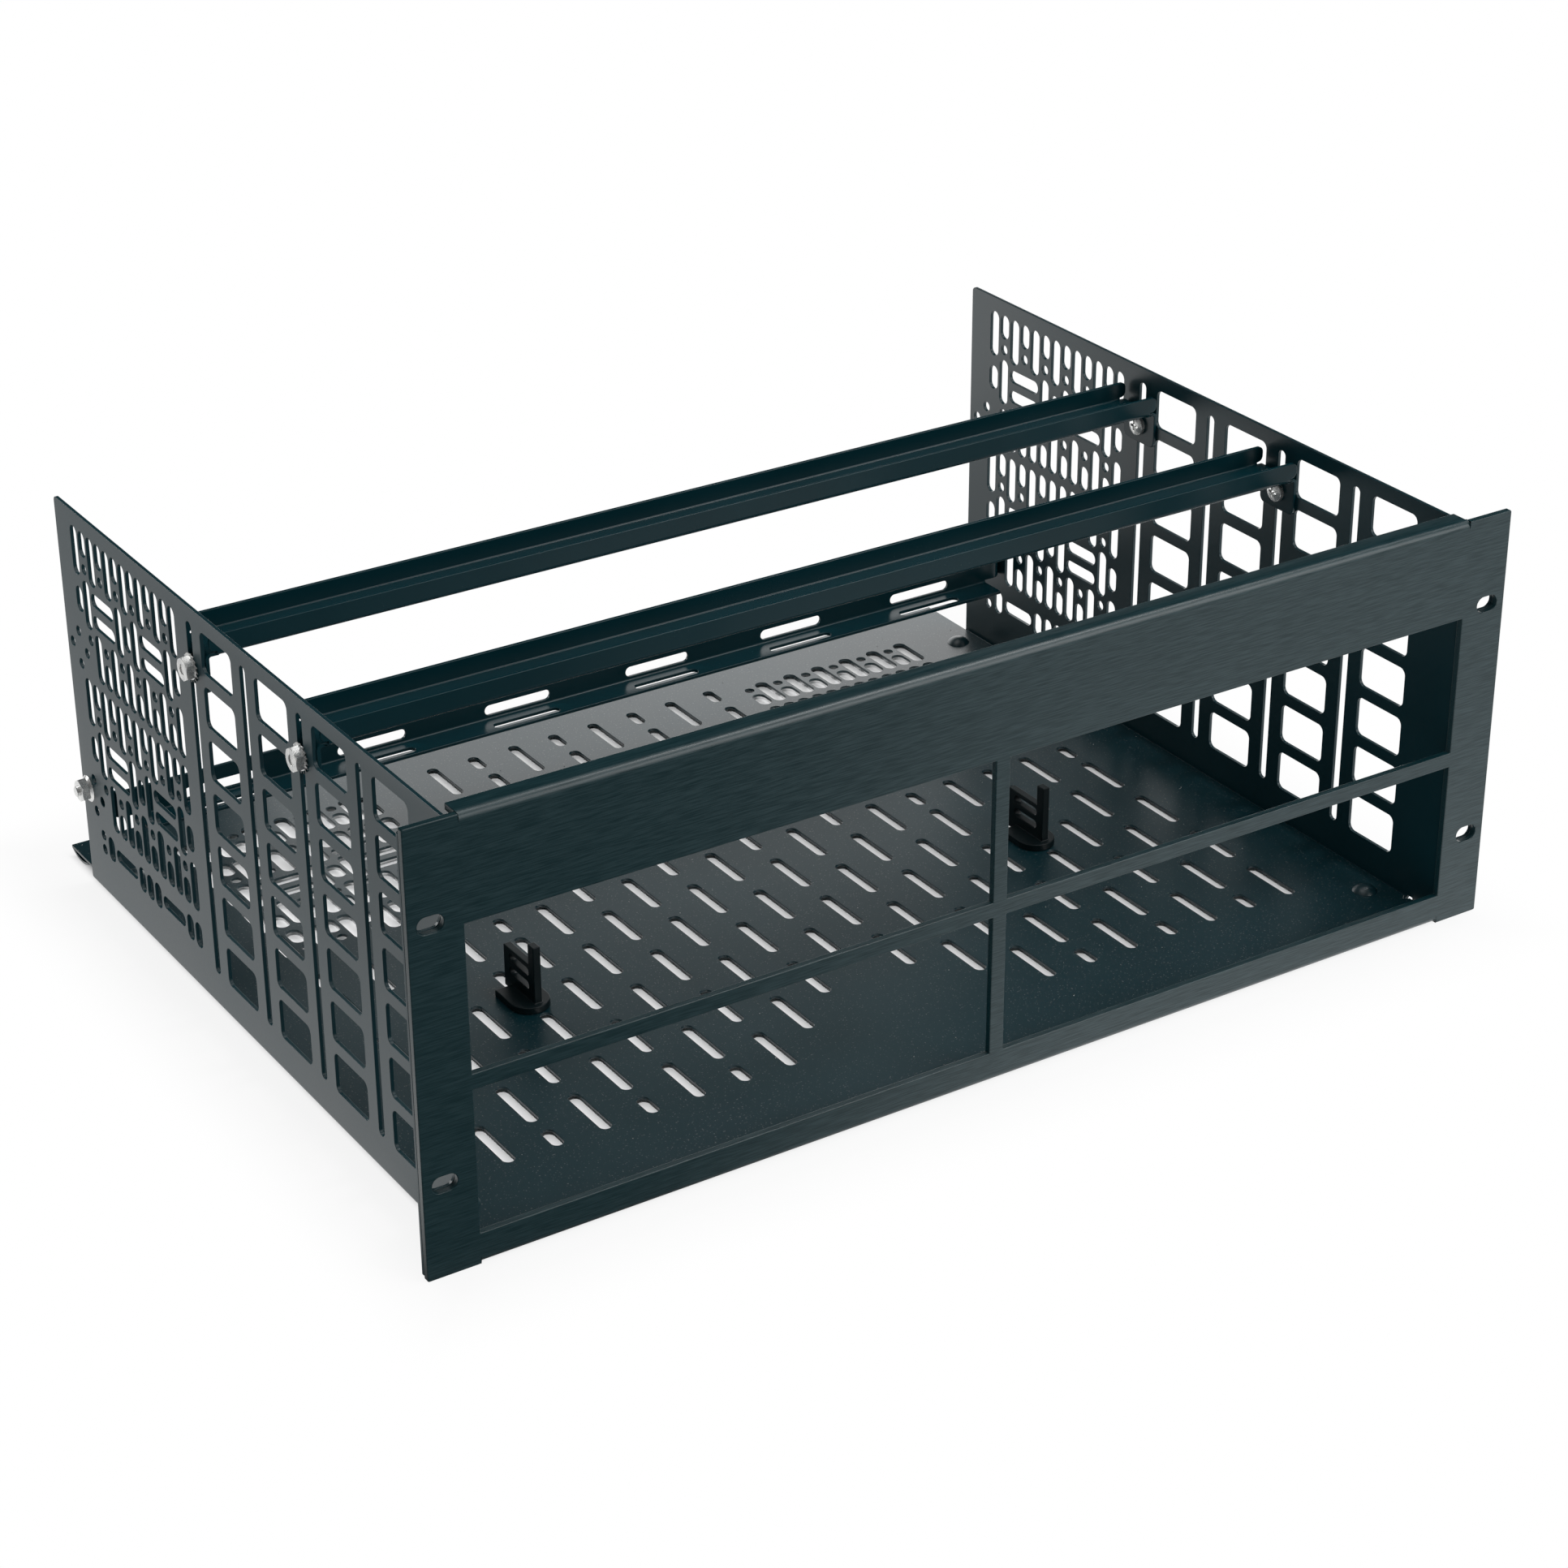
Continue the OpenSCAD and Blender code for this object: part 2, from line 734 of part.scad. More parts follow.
module front_bar_screws()
    bar_screws(front_bar_y, front_bar_z - screw_drop, tooth_washer_t, bar_screw_tail);

module rear_bar_screws()
    bar_screws(rear_bar_y, rear_bar_z - screw_drop, tooth_washer_t, bar_screw_tail);

module lacing_bar_bolts()
    bar_screws(lacing_bolt_y, lacing_bolt_z, cone_washer_t, lacing_bolt_tail);

module front_bar_washers() color(zinc)
    at_both_sides(x_out, front_bar_y, front_bar_z - screw_drop) tooth_washer();

module rear_bar_washers() color(zinc)
    at_both_sides(x_out, rear_bar_y, rear_bar_z - screw_drop) tooth_washer();

module lacing_bar_washers() color(zinc)
    at_both_sides(x_out, lacing_bolt_y, lacing_bolt_z) cone_washer();

module front_bar_nuts() bar_nuts(front_bar_y, front_bar_z - screw_drop, tooth_washer_t);

module rear_bar_nuts() bar_nuts(rear_bar_y, rear_bar_z - screw_drop, tooth_washer_t);

module lacing_bar_nuts() bar_nuts(lacing_bolt_y, lacing_bolt_z, cone_washer_t);

// Rivet with a domed head on top, a shank and a flat tail underneath
module rivet(head_d, head_h, shank_d, grip, tail_d, tail_t) {
    dome_r = (head_d * head_d / 4 + head_h * head_h) / (2 * head_h);
    intersection() {
        cylinder(h = head_h, d = head_d + overlap);
        translate([0, 0, head_h - dome_r]) sphere(dome_r, $fn = dome_facets);
    }
    translate([0, 0, -grip]) cylinder(h = grip, d = shank_d);
    if (tail_t > 0)
        translate([0, 0, -grip - tail_t]) cylinder(h = tail_t, d = tail_d);
}

module tray_rivets() color(black_paint)
    for (sx = [-1, 1], y = [rivet_front, rivet_rear])
        translate([sx * (x_out - rivet_inset), y, tray_top])
            rivet(rivet_head_d, rivet_head_h, rivet_d, tray_t + sheet_t, rivet_tail_d, rivet_tail_t);

module faceplate_rivets() color(black_paint)
    for (x = small_rivet_x)
        translate([x, small_rivet_y, tray_top])
            rivet(small_rivet_head_d, small_rivet_head_h, small_rivet_d, tray_t + plate_t, 0, 0);

faceplate();
tray();
left_side_panel();
right_side_panel();
front_tie_bar();
rear_tie_bar();
lacing_bar();
left_stop_clip();
right_stop_clip();
front_bar_screws();
front_bar_washers();
front_bar_nuts();
rear_bar_screws();
rear_bar_washers();
rear_bar_nuts();
lacing_bar_bolts();
lacing_bar_washers();
lacing_bar_nuts();
tray_rivets();
faceplate_rivets();
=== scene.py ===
"""Looks of a vented rack shelf.

The faceplate is brushed and anodised black, the sheets and bars are painted black, the stop clips are moulded
in black plastic and the fasteners are zinc plated.
"""

import json
import math

import bmesh
import bpy
from mathutils import Matrix, Vector
from mathutils.bvhtree import BVHTree

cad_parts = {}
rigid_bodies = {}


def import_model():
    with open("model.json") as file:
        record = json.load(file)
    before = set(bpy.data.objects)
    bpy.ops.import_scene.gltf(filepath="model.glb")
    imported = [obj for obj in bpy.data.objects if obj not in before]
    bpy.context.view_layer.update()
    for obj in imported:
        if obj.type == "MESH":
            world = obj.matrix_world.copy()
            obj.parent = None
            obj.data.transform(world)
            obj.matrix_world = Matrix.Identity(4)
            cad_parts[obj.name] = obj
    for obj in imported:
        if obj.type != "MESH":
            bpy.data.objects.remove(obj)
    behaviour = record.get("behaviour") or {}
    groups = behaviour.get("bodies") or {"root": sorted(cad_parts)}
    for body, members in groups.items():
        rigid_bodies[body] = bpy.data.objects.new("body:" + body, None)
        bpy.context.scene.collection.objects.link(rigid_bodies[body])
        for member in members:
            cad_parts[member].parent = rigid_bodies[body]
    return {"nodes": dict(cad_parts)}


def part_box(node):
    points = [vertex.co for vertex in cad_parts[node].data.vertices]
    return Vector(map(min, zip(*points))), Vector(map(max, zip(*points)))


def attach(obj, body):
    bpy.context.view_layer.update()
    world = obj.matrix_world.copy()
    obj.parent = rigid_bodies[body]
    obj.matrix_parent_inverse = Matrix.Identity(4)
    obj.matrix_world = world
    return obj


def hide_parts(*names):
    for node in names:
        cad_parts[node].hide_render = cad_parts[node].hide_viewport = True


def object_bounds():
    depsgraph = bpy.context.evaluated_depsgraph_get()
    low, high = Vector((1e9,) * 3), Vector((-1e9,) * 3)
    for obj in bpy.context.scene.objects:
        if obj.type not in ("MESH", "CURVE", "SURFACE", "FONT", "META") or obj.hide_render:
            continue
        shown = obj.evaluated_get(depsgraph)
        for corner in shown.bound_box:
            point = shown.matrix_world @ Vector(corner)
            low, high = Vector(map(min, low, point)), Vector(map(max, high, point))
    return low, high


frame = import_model()
cad_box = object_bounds()

# The height of the floor that the shelf stands on
floor_level = cad_box[0][2]

MM = 0.001

# Photograph: camera place, the point it looks at, its roll and its lens
CAMERA_PLACE = (-693.925 * MM, -940.782 * MM, 636.129 * MM)
CAMERA_AIM = (-94.131 * MM, -4.3 * MM, 63.920 * MM)
CAMERA_ROLL = -0.005187
PHOTO_PIXELS = 1932
FOCAL_PIXELS = 4455.6
SENSOR = 36.0

# Rounding that the punched, tumbled and painted edges have
PUNCHED_EDGE = 0.18 * MM
BAR_EDGE = 0.3 * MM
PLATE_EDGE = 0.4 * MM
PLASTIC_EDGE = 0.4 * MM
FASTENER_EDGE = 0.15 * MM
EDGE_SEGMENTS = 2
EDGE_ANGLE = math.radians(28)

# Corners this close are welded, faces this flat are joined, and rounding may stray this share of its width
WELD_DISTANCE = 0.002 * MM
FLAT_ANGLE = math.radians(0.3)
STRAY_SHARE = 0.45

# Tooth washers: a ring with thin twisted teeth that stay between nut and panel
TEETH = 16
TOOTH_RING_INNER = 2.15 * MM
TOOTH_RING_OUTER = 4.7 * MM
TOOTH_RING_THICKNESS = 0.8 * MM
TOOTH_RING_STEPS = 32
TOOTH_TIP = 5.7 * MM
TOOTH_WIDTH = 1.35 * MM
TOOTH_SHEET = 0.3 * MM
TOOTH_TWIST = math.radians(22)

# Thread on the bolt ends
BOLT_RADIUS = 2.05 * MM
THREAD_TURNS = 1.6
THREAD_END_TURNS = 0.5
THREAD_PITCH = 0.7 * MM
THREAD_DEPTH = 0.18 * MM
THREAD_STEPS = 24
THREAD_CORNERS = 3

# Dust on the tray, as specks that are scaled unit balls
DUST_PER_SQUARE_METRE = 2000.0
DUST_SEED = 11
DUST_SMALL = 0.05 * MM
DUST_LARGE = 0.26 * MM

# Where dust lies: the height of the tray's top, the slack below it, and how squarely a face looks up
TRAY_TOP = -84.5 * MM
TRAY_TOP_SLACK = 0.1 * MM
LEVEL_FACING = 0.99

# Lint on the tray, as bent fibres with their ends on the sheet
LINT_PER_SQUARE_METRE = 60.0
LINT_SEED = 5
LINT_LENGTH = 2.2 * MM
LINT_RADIUS = 0.07 * MM
LINT_SHORTEST = 0.4
LINT_LONGEST = 1.3
LINT_BEND_ALONG = 0.2
LINT_BEND_ASIDE = 0.8
LINT_BEND_RISE = 4.0
LINT_END_ASIDE = -0.3
LINT_STEPS = 8
LINT_CORNERS = 4

# Grains per metre of the finishes' patterns, along each axis
BELT_FINE = (95, 2300, 2300)
BELT_BROAD = (22, 1300, 1300)
BELT_CLOUD = (7, 7, 7)
PEEL_COARSE = (950, 950, 950)
PEEL_FINE = (3400, 3400, 3400)
PAINT_CLOUD = (14, 14, 14)
PAINT_GRIT = (1500, 1500, 1500)
PLASTIC_GRAIN = (2600, 2600, 2600)
PLASTIC_FLOW = (120, 120, 30)
ZINC_CLOUD = (420, 420, 420)
ZINC_SCRATCH = (700, 5200, 5200)
DUST_PATCH = (300, 300, 300)

# Relief of the finishes, the shares that their patterns are mixed in, and how far these swing the roughness
BELT_DEPTH = 0.03 * MM
SKIN_DEPTH = 0.02 * MM
BELT_FINE_SHARE = 0.8
PEEL_COARSE_SHARE = 0.7
BELT_CLOUD_SWING = 0.06
PAINT_SWING = 0.08
ZINC_SCRATCH_SWING = 0.1

# Colours as linear light
ANODISED_DARK = (0.0006, 0.0200, 0.0250, 1.0)
ANODISED_LIGHT = (0.0042, 0.0345, 0.0425, 1.0)
PAINT_DARK = (0.0006, 0.0225, 0.0300, 1.0)
PAINT_LIGHT = (0.0020, 0.0275, 0.0365, 1.0)
PLASTIC_DARK = (0.0022, 0.0085, 0.0105, 1.0)
PLASTIC_LIGHT = (0.0045, 0.0125, 0.0150, 1.0)
ZINC_DULL = (0.68, 0.69, 0.69, 1.0)
ZINC_BRIGHT = (0.91, 0.91, 0.89, 1.0)
DUST_DARK = (0.20, 0.21, 0.21, 1.0)
DUST_PALE = (0.58, 0.58, 0.56, 1.0)
FLOOR_COLOUR = (0.94, 0.94, 0.94, 1.0)
WHITE = (1.0, 1.0, 1.0, 1.0)

# Sockets of a Mix node that mixes colours
MIX_FACTOR = 0
MIX_FIRST = 6
MIX_SECOND = 7
MIX_RESULT = 2

# Floor, in metres: its size, the shelf's footprint on it, and the patch that the tray's slots show
FLOOR_HALF = 12.0
FLOOR_ROUGHNESS = 0.8
FOOTPRINT_HALF_WIDTH = 0.224
FOOTPRINT_HALF_DEPTH = 0.180
FOOTPRINT_MIDDLE = 0.176
PATCH_HALF_WIDTH = 0.218
PATCH_FRONT = 0.005
PATCH_REAR = 0.345
PATCH_LIFT = 0.05 * MM

# Floor as the camera sees it: the share of plain white under the shelf, and what its edge and outside add
WHITE_UNDER = 0.02
WHITE_EDGE_ADDS = 0.84
WHITE_OUTSIDE_ADDS = 0.14
WHITE_EDGE_REACH = (-0.008, 0.0)
WHITE_OUTSIDE_REACH = (0.0, 0.05)

# Floor as gloss sees it: dark under the shelf, slanting into light ahead of it, and dimmer on the left
GLOSS_UNDER_REACH = (0.0, -0.03)
GLOSS_UNDER_SHARE = 0.85
GLOSS_AHEAD_REACH = (0.06, -0.02)
GLOSS_SLANT = 0.8
GLOSS_SLANT_REACH = (-0.185, 0.055)
GLOSS_LEAST = 0.06
GLOSS_FADE_REACH = (0.0, -0.22)
GLOSS_FADE_SHARE = 0.34
GLOSS_LEFT_REACH = (-0.24, -0.40)
GLOSS_LEFT_SHARE = 0.55
GLOSS_REAR_REACH = (0.2, 0.6)
GLOSS_REAR_SHARE = 0.4

# Card behind the shelf, in metres: its sides, place and top, and the glow of its foot and the haze above
CARD_LEFT = -0.05
CARD_RIGHT = 1.2
CARD_PLACE = 0.55
CARD_TOP = 0.42
CARD_FOOT_REACH = (0.05, 0.165)
CARD_FOOT_GLOW = 1.75
CARD_HAZE_REACH = (0.05, 0.30)
CARD_HAZE_ACROSS = (0.0, 0.32)
CARD_HAZE_GLOW = 0.46

# Dome of light: its level on the shelf, in gloss and to the camera
DOME_LEVEL = 0.4
DOME_IN_GLOSS = 0.04
DOME_SEEN = 1.0

# Soft boxes: place, aim and size in metres, and watts
SOFT_BOXES = {
    "top_box": ((0.1, 0.1, 1.7), (0.1, 0.1, 0.0), 1.6, 7.5),
    "spark_box": ((0.85, 0.1, 1.55), (0.0, 0.1, 0.0), 0.45, 6.0),
    "key_box": ((1.4, -1.7, 1.4), (0.0, 0.1, 0.0), 1.5, 25.0),
    "slot_fill": ((-0.80, -0.90, 1.22), (0.0, 0.15, 0.0), 0.14, 20.0),
    "glint_box": ((-0.95, 1.45, 0.75), (-0.22, 0.2, 0.0), 0.6, 11.0),
}

# What the glint box lights, by how the names of the pieces start
GLINTING = ("left_side", "front_bar", "rear_bar", "lacing")


class Wire:
    """A socket of a node tree. Arithmetic on it adds Math nodes."""

    def __init__(self, tree, socket=None):
        self.tree = tree
        self.socket = socket

    def feed(self, socket, value):
        """Links another wire to a socket, or sets the socket's own value."""
        if isinstance(value, Wire):
            self.tree.links.new(value.socket, socket)
        else:
            socket.default_value = value

    def node(self, kind, settings, values, output=0):
        """Adds a node: its settings first, then its sockets, and returns one of its outputs."""
        made = self.tree.nodes.new(kind)
        for name, setting in settings.items():
            setattr(made, name, setting)
        for key, value in values.items():
            self.feed(made.inputs[key], value)
        return Wire(self.tree, made.outputs[output])

    def math(self, operation, first, second):
        """Adds a Math node."""
        return self.node("ShaderNodeMath", {"operation": operation}, {0: first, 1: second})

    def __add__(self, other):
        return self.math("ADD", self, other)

    def __radd__(self, other):
        return self.math("ADD", other, self)

    def __sub__(self, other):
        return self.math("SUBTRACT", self, other)

    def __rsub__(self, other):
        return self.math("SUBTRACT", other, self)

    def __mul__(self, other):
        return self.math("MULTIPLY", self, other)

    def __rmul__(self, other):
        return self.math("MULTIPLY", other, self)


def new_finish(name, **constants):
    """An empty finish: its material, a wire to add nodes with, and its shader with constants set."""
    material = bpy.data.materials.new(name)
    material.use_nodes = True
    shader = material.node_tree.nodes["Principled BSDF"]
    for socket, value in constants.items():
        shader.inputs[socket.replace("_", " ")].default_value = value
    return material, Wire(material.node_tree), shader


def own_place(wire):
    """A place on a piece, in the piece's own coordinates."""
    return wire.node("ShaderNodeTexCoord", {}, {}, "Object")


def part_of(wire, place, axis):
    """One coordinate of a place or direction."""
    return wire.node("ShaderNodeSeparateXYZ", {}, {"Vector": place}, axis)


def noise(wire, grains, detail=2.0):
    """Noise over a piece, with a number of grains per metre along each axis."""
    place = wire.node("ShaderNodeMapping", {}, {"Vector": own_place(wire), "Scale": grains})
    return wire.node("ShaderNodeTexNoise", {}, {"Vector": place, "Scale": 1.0, "Detail": detail})


def ramp(wire, value, low, high):
    """The value spread from 0 at low to 1 at high."""
    settings = {"clamp": True, "interpolation_type": "SMOOTHSTEP"}
    return wire.node("ShaderNodeMapRange", settings, {"Value": value, "From Min": low, "From Max": high})


def spread(value, low, high):
    """A value between 0 and 1, spread from low to high."""
    return value * (high - low) + low


def tint(wire, factor, first, second):
    """A colour between two, by a factor."""
    mixed = {MIX_FACTOR: factor, MIX_FIRST: first, MIX_SECOND: second}
    return wire.node("ShaderNodeMix", {"data_type": "RGBA"}, mixed, MIX_RESULT)


def relief(wire, height, strength, depth):
    """A normal from a height field."""
    return wire.node("ShaderNodeBump", {}, {"Height": height, "Strength": strength, "Distance": depth})


def brushed_black():
    """Black anodised aluminium with the fine level lines of a brushing belt."""
    material, wire, shader = new_finish(
        "brushed_black", Specular_IOR_Level=0.5, Coat_Roughness=0.32,
        Anisotropic=0.6, Anisotropic_Rotation=0.25)
    fine = noise(wire, BELT_FINE, detail=3.0)
    broad = noise(wire, BELT_BROAD)
    belt = fine * BELT_FINE_SHARE + broad * (1.0 - BELT_FINE_SHARE)
    lines = ramp(wire, belt, low=0.33, high=0.67)
    cloud = noise(wire, BELT_CLOUD)
    wire.feed(shader.inputs["Base Color"], tint(wire, lines, ANODISED_DARK, ANODISED_LIGHT))
    wire.feed(shader.inputs["Coat Weight"], spread(lines, low=0.10, high=0.55))
    wire.feed(shader.inputs["Roughness"], spread(lines, low=0.30, high=0.42) + cloud * BELT_CLOUD_SWING)
    wire.feed(shader.inputs["Normal"], relief(wire, lines, strength=0.25, depth=BELT_DEPTH))
    return material


def painted_black(name, roughness, peel, specular, grit=0.0):
    """Black paint on sheet steel: faint orange peel, a slow change of gloss and a share of pale grit."""
    material, wire, shader = new_finish(name, Specular_IOR_Level=specular)
    coarse = noise(wire, PEEL_COARSE)
    fine = noise(wire, PEEL_FINE, detail=1.0)
    skin = coarse * PEEL_COARSE_SHARE + fine * (1.0 - PEEL_COARSE_SHARE)
    cloud = noise(wire, PAINT_CLOUD, detail=3.0)
    paint = tint(wire, ramp(wire, cloud, low=0.3, high=0.7), PAINT_DARK, PAINT_LIGHT)
    grains = ramp(wire, noise(wire, PAINT_GRIT, detail=0.0), low=0.73, high=0.79)
    wire.feed(shader.inputs["Base Color"], tint(wire, grains * grit, paint, DUST_DARK))
    wire.feed(shader.inputs["Roughness"], (cloud + skin) * PAINT_SWING + (roughness - PAINT_SWING))
    wire.feed(shader.inputs["Normal"], relief(wire, skin, strength=peel, depth=SKIN_DEPTH))
    return material


def moulded_black():
    """Black moulded plastic with a fine spark-eroded grain."""
    material, wire, shader = new_finish("moulded_black", Specular_IOR_Level=0.35)
    grain = noise(wire, PLASTIC_GRAIN)
    streaks = ramp(wire, noise(wire, PLASTIC_FLOW), low=0.3, high=0.7)
    wire.feed(shader.inputs["Base Color"], tint(wire, streaks, PLASTIC_DARK, PLASTIC_LIGHT))
    wire.feed(shader.inputs["Roughness"], spread(grain, low=0.34, high=0.46))
    wire.feed(shader.inputs["Normal"], relief(wire, grain, strength=0.25, depth=SKIN_DEPTH))
    return material


def bright_zinc():
    """Zinc plating: bright, a little cloudy, with fine scratches."""
    material, wire, shader = new_finish("bright_zinc", Metallic=0.75)
    cloud = noise(wire, ZINC_CLOUD, detail=3.0)
    scratch = noise(wire, ZINC_SCRATCH)
    patches = ramp(wire, cloud, low=0.32, high=0.68)
    wire.feed(shader.inputs["Base Color"], tint(wire, patches, ZINC_DULL, ZINC_BRIGHT))
    wire.feed(shader.inputs["Roughness"], spread(cloud, low=0.14, high=0.30) + scratch * ZINC_SCRATCH_SWING)
    wire.feed(shader.inputs["Normal"], relief(wire, (scratch + cloud) * 0.5, strength=0.25, depth=SKIN_DEPTH))
    return material


def pale_dust():
    """Grey house dust and lint."""
    material, wire, shader = new_finish("pale_dust", Roughness=0.9, Specular_IOR_Level=0.2)
    patches = ramp(wire, noise(wire, DUST_PATCH, detail=1.0), low=0.35, high=0.65)
    wire.feed(shader.inputs["Base Color"], tint(wire, patches, DUST_DARK, DUST_PALE))
    return material


def new_piece(name, mesh):
    """An object at the origin that shows a mesh."""
    piece = bpy.data.objects.new(name, mesh)
    bpy.context.scene.collection.objects.link(piece)
    return piece


def stand_for(piece, node):
    """The piece rides on the shelf's one body and hides the node."""
    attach(piece, "root")
    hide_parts(node)


def settle(piece):
    """Turns what a piece's modifiers make into its plain mesh."""
    graph = bpy.context.evaluated_depsgraph_get()
    shaped = piece.evaluated_get(graph)
    mesh = bpy.data.meshes.new_from_object(shaped, preserve_all_data_layers=True, depsgraph=graph)
    piece.modifiers.clear()
    piece.data = mesh
    return mesh


def whole_faces(node):
    """A copy of a CAD node's mesh, with its loose triangles merged into whole flat faces."""
    mesh = frame["nodes"][node].data.copy()
    mesh.attributes.remove(mesh.attributes["custom_normal"])
    shell = bmesh.new()
    shell.from_mesh(mesh)
    bmesh.ops.remove_doubles(shell, verts=shell.verts, dist=WELD_DISTANCE)
    bmesh.ops.dissolve_limit(shell, angle_limit=FLAT_ANGLE, verts=shell.verts, edges=shell.edges)
    shell.to_mesh(mesh)
    shell.free()
    mesh.shade_smooth()
    return mesh


def pull_back(mesh, node, reach):
    """Puts corners that the rounding threw further than a reach off the node back on its surface."""
    source = frame["nodes"][node].data
    surface = BVHTree.FromPolygons([v.co for v in source.vertices], [f.vertices for f in source.polygons])
    for vertex in mesh.vertices:
        nearest, _, _, gap = surface.find_nearest(vertex.co)
        if gap > reach:
            vertex.co = nearest


def eased_copy(node, edge, finish, clamp=False):
    """A copy of a CAD node with its sharp edges rounded, which stands for the node."""
    piece = new_piece(node + "_eased", whole_faces(node))
    ease = piece.modifiers.new("ease", "BEVEL")
    ease.limit_method = "ANGLE"
    ease.angle_limit = EDGE_ANGLE
    ease.width = edge
    ease.segments = EDGE_SEGMENTS
    ease.use_clamp_overlap = clamp
    ease.harden_normals = True
    mesh = settle(piece)
    pull_back(mesh, node, edge * STRAY_SHARE)
    mesh.materials.clear()
    mesh.materials.append(finish)
    stand_for(piece, node)
    return piece


def grown_piece(name, mesh, build, sizes, finish):
    """A piece grown by Geometry Nodes from a mesh, with a named input for each of its sizes."""
    tree = bpy.data.node_groups.new(name, "GeometryNodeTree")
    tree.interface.new_socket("Geometry", in_out="INPUT", socket_type="NodeSocketGeometry")
    tree.interface.new_socket("Geometry", in_out="OUTPUT", socket_type="NodeSocketGeometry")
    keys = {}
    for label, size in sizes.items():
        kind = "NodeSocketInt" if isinstance(size, int) else "NodeSocketFloat"
        keys[label] = tree.interface.new_socket(label, in_out="INPUT", socket_type=kind).identifier
    entry = tree.nodes.new("NodeGroupInput")
    wire = Wire(tree)
    given = {label: Wire(tree, entry.outputs[label]) for label in sizes}
    shape = build(wire, Wire(tree, entry.outputs["Geometry"]), given)
    shape = wire.node("GeometryNodeRealizeInstances", {}, {"Geometry": shape})
    shape = wire.node("GeometryNodeSetMaterial", {}, {"Geometry": shape, "Material": finish})
    wire.feed(tree.nodes.new("NodeGroupOutput").inputs["Geometry"], shape)
    piece = new_piece(name, mesh)
    grow = piece.modifiers.new("grow", "NODES")
    grow.node_group = tree
    for label, size in sizes.items():
        grow[keys[label]] = size
    settle(piece)
    return piece


def vector(wire, x, y, z):
    """A vector from its three numbers."""
    return wire.node("ShaderNodeCombineXYZ", {}, {"X": x, "Y": y, "Z": z})


def joined(wire, first, second):
    """Two shapes as one."""
    made = wire.tree.nodes.new("GeometryNodeJoinGeometry")
    for shape in (second, first):
        wire.tree.links.new(shape.socket, made.inputs["Geometry"])
    return Wire(wire.tree, made.outputs["Geometry"])


def swept(wire, path, section):
    """A section drawn along a path, with closed ends."""
    return wire.node(
        "GeometryNodeCurveToMesh", {}, {"Curve": path, "Profile Curve": section, "Fill Caps": True})


def outward_turn(wire):
    """The turn that lays a shape drawn along Z along X, away from the shelf's middle."""
    place = wire.node("GeometryNodeInputPosition", {}, {})
    side = wire.node("ShaderNodeMath", {"operation": "SIGN"}, {0: part_of(wire, place, "X")})
    return vector(wire, 0.0, side * (math.pi / 2), 0.0)


def tooth_washer(wire, places, given):
    """A flat ring with twisted teeth round it, at each place."""
    middle = (given["Ring Inner"] + given["Ring Outer"]) * 0.5
    path = wire.node(
        "GeometryNodeCurvePrimitiveCircle", {}, {"Resolution": TOOTH_RING_STEPS, "Radius": middle})
    section = wire.node(
        "GeometryNodeCurvePrimitiveQuadrilateral", {},
        {"Width": given["Ring Outer"] - given["Ring Inner"], "Height": given["Thickness"]})
    ring = wire.node("GeometryNodeCurveToMesh", {}, {"Curve": path, "Profile Curve": section})
    length = given["Tip"] - given["Ring Inner"]
    block = vector(wire, length, given["Tooth Width"], given["Tooth Sheet"])
    blade = wire.node("GeometryNodeMeshCube", {}, {"Size": block})
    round_it = wire.node(
        "GeometryNodeMeshCircle", {},
        {"Vertices": given["Teeth"], "Radius": (given["Tip"] + given["Ring Inner"]) * 0.5})
    count = wire.node("GeometryNodeInputIndex", {}, {})
    around = count * math.tau * wire.math("DIVIDE", 1.0, given["Teeth"])
    teeth = wire.node(
        "GeometryNodeInstanceOnPoints", {},
        {"Points": round_it, "Instance": blade, "Rotation": vector(wire, given["Twist"], 0.0, around)})
    washer = joined(wire, ring, teeth)
    return wire.node(
        "GeometryNodeInstanceOnPoints", {},
        {"Points": places, "Instance": washer, "Rotation": outward_turn(wire)})


def thread(wire, places, given):
    """The ridge of a screw thread, at each place."""
    path = wire.node(
        "GeometryNodeCurveSpiral", {},
        {"Resolution": THREAD_STEPS, "Rotations": given["Turns"], "Start Radius": given["Radius"],
         "End Radius": given["Radius"], "Height": given["Turns"] * given["Pitch"]})
    ridge = wire.node(
        "GeometryNodeCurvePrimitiveCircle", {}, {"Resolution": THREAD_CORNERS, "Radius": given["Depth"]})
    coil = swept(wire, path, ridge)
    return wire.node(
        "GeometryNodeInstanceOnPoints", {},
        {"Points": places, "Instance": coil, "Rotation": outward_turn(wire)})


def scattered(wire, sheet, shape, density, seed, small, large):
    """A shape strewn over the tray's top, each one turned and sized by chance from a fixed seed."""
    facing = wire.node("GeometryNodeInputNormal", {}, {})
    place = wire.node("GeometryNodeInputPosition", {}, {})
    level = wire.math("GREATER_THAN", part_of(wire, facing, "Z"), LEVEL_FACING)
    upper = wire.math("GREATER_THAN", part_of(wire, place, "Z"), TRAY_TOP - TRAY_TOP_SLACK)
    points = wire.node(
        "GeometryNodeDistributePointsOnFaces", {},
        {"Mesh": sheet, "Selection": level * upper, "Density": density, "Seed": seed})
    turn = wire.node("FunctionNodeRandomValue", {}, {"Min": 0.0, "Max": math.tau, "Seed": seed}, "Value")
    size = wire.node("FunctionNodeRandomValue", {}, {"Min": small, "Max": large, "Seed": seed + 1.0}, "Value")
    return wire.node(
        "GeometryNodeInstanceOnPoints", {},
        {"Points": points, "Instance": shape, "Rotation": vector(wire, 0.0, 0.0, turn), "Scale": size})


